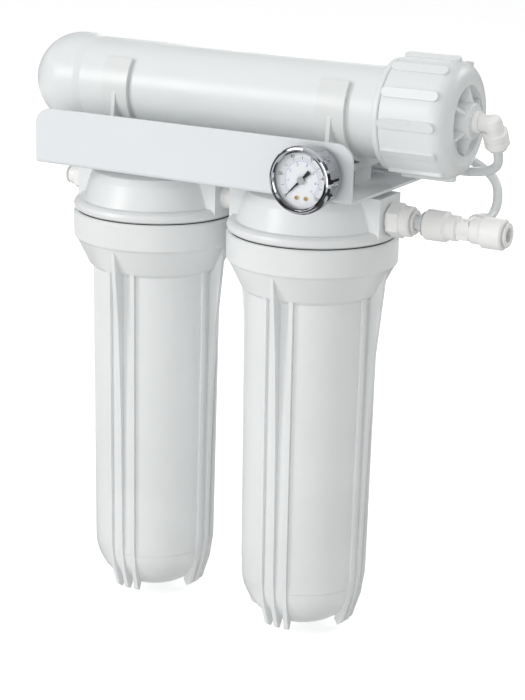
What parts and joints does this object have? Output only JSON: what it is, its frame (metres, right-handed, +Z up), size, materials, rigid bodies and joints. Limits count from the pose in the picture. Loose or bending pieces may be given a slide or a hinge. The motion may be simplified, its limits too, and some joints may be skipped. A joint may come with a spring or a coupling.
{
  "type": "reverse osmosis unit",
  "caption": "Wall-hung reverse osmosis unit: screw-on filter housings under a folded bracket, with a clipped membrane housing, push fittings, hoses and a pressure gauge.",
  "frame": {"origin": "on the wall face of the back plate, midway between the two wall slots", "axes": "+X to the right along the bracket, +Y towards the wall, +Z up"},
  "size_m": [0.3709, 0.1555, 0.411],
  "materials": {
    "bracket_sheet": "satin white powder coat",
    "zinc_screws": "zinc plated",
    "housing_plastic": "satin moulded polypropylene",
    "seal_rubber": "black nitrile",
    "sediment_fibre": "melt-blown fibre",
    "cartridge_plastic": "moulded polypropylene",
    "carbon": "sintered carbon",
    "gasket_foam": "soft foam rubber",
    "fitting_plastic": "ivory moulded acetal",
    "collet_plastic": "acetal with a light sheen",
    "hose_plastic": "slightly clear polyethylene",
    "membrane_shell": "glossy moulded polypropylene",
    "clip_plastic": "moulded polypropylene",
    "membrane_wrap": "wound tape",
    "core_plastic": "moulded ABS",
    "gauge_chrome": "polished",
    "gauge_glass": "clear lens",
    "dial_face": "printed white dial",
    "pointer_black": "matt black",
    "brass": "machined brass"
  },
  "bodies": {
    "root": {"bracket": "bracket_sheet", "head_screws_left": "zinc_screws", "head_screws_right": "zinc_screws", "clip_screws": "zinc_screws", "clip_nuts": "zinc_screws", "filter_head_left": "housing_plastic", "filter_head_right": "housing_plastic", "membrane_o_rings": "seal_rubber", "brine_seal": "seal_rubber", "inlet_connector": "fitting_plastic", "interstage_nipple": "fitting_plastic", "outlet_connector": "fitting_plastic", "outlet_tee": "fitting_plastic", "cap_elbow": "fitting_plastic", "permeate_elbow": "fitting_plastic", "concentrate_elbow": "fitting_plastic", "gauge_elbow": "fitting_plastic", "gauge_tee": "fitting_plastic", "gauge_tee_collets": "collet_plastic", "link_tube": "hose_plastic", "membrane_feed_hose": "hose_plastic", "tee_link_hose": "hose_plastic", "gauge_hose": "hose_plastic", "membrane_tube": "membrane_shell", "membrane_cap": "membrane_shell", "clip_left": "clip_plastic", "clip_right": "clip_plastic", "membrane_element": "membrane_wrap", "membrane_core": "core_plastic", "gauge_case": "gauge_chrome", "gauge_bezel": "gauge_chrome", "gauge_lens": "gauge_glass", "gauge_dial": "dial_face", "gauge_stem": "brass", "gauge_c_tube": "brass", "gauge_movement": "brass", "gauge_nuts": "brass", "dial_screws": "brass"},
    "left_cartridge": {"sediment_cartridge": "sediment_fibre", "sediment_core": "cartridge_plastic"},
    "left_sump": {"sump_left": "housing_plastic", "sump_o_ring_left": "seal_rubber"},
    "right_cartridge": {"carbon_block": "carbon", "carbon_cap_bottom": "cartridge_plastic", "carbon_cap_top": "cartridge_plastic", "carbon_gaskets": "gasket_foam"},
    "right_sump": {"sump_right": "housing_plastic", "sump_o_ring_right": "seal_rubber"},
    "pointer": {"gauge_pointer": "pointer_black", "gauge_arbor": "brass"},
    "inlet_release": {"inlet_collet": "collet_plastic"},
    "outlet_release": {"outlet_collet": "collet_plastic"},
    "tee_inlet_release": {"tee_inlet_collet": "collet_plastic"},
    "tee_outlet_release": {"tee_outlet_collet": "collet_plastic"},
    "tee_branch_release": {"tee_branch_collet": "collet_plastic"},
    "cap_elbow_release": {"cap_elbow_collet": "collet_plastic"},
    "permeate_release": {"permeate_collet": "collet_plastic"},
    "concentrate_release": {"concentrate_collet": "collet_plastic"},
    "gauge_elbow_release": {"gauge_elbow_collet": "collet_plastic"}
  },
  "joints": [
    {"name": "left_sump_drop", "type": "slide", "parent": "root", "child": "left_cartridge", "axis": [0, 0, -1], "range_m": [0, 0.01925]},
    {"name": "left_sump_turn", "type": "hinge", "parent": "left_cartridge", "child": "left_sump", "pos_m": [-0.06315, -0.068, -0.0855], "axis": [0, 0, -1], "range_deg": [0, 1260]},
    {"name": "right_sump_drop", "type": "slide", "parent": "root", "child": "right_cartridge", "axis": [0, 0, -1], "range_m": [0, 0.01925]},
    {"name": "right_sump_turn", "type": "hinge", "parent": "right_cartridge", "child": "right_sump", "pos_m": [0.06315, -0.068, -0.0855], "axis": [0, 0, -1], "range_deg": [0, 1260]},
    {"name": "gauge_pointer_turn", "type": "hinge", "parent": "root", "child": "pointer", "pos_m": [0.0981, -0.152, -0.0329], "axis": [0, 1, 0], "range_deg": [0, 270], "stiffness_Nm_per_rad": 0.0002},
    {"name": "inlet_collet_press", "type": "slide", "parent": "root", "child": "inlet_release", "axis": [1, 0, 0], "range_m": [0, 0.0014]},
    {"name": "outlet_collet_press", "type": "slide", "parent": "root", "child": "outlet_release", "axis": [-1, 0, 0], "range_m": [0, 0.0014]},
    {"name": "tee_inlet_collet_press", "type": "slide", "parent": "root", "child": "tee_inlet_release", "axis": [1, 0, 0], "range_m": [0, 0.0014]},
    {"name": "tee_outlet_collet_press", "type": "slide", "parent": "root", "child": "tee_outlet_release", "axis": [-1, 0, 0], "range_m": [0, 0.0014]},
    {"name": "tee_branch_collet_press", "type": "slide", "parent": "root", "child": "tee_branch_release", "axis": [0, -1, 0], "range_m": [0, 0.0014]},
    {"name": "cap_elbow_collet_press", "type": "slide", "parent": "root", "child": "cap_elbow_release", "axis": [0, -0.5, 0.866], "range_m": [0, 0.0014]},
    {"name": "permeate_collet_press", "type": "slide", "parent": "root", "child": "permeate_release", "axis": [1, 0, 0], "range_m": [0, 0.0014]},
    {"name": "concentrate_collet_press", "type": "slide", "parent": "root", "child": "concentrate_release", "axis": [1, 0, 0], "range_m": [0, 0.0014]},
    {"name": "gauge_elbow_collet_press", "type": "slide", "parent": "root", "child": "gauge_elbow_release", "axis": [1, 0, 0], "range_m": [0, 0.0014]}
  ],
  "couplings": [
    {"joint": "left_sump_drop", "follows": "left_sump_turn", "m_per_rad": 0.00087535},
    {"joint": "right_sump_drop", "follows": "right_sump_turn", "m_per_rad": 0.00087535}
  ]
}
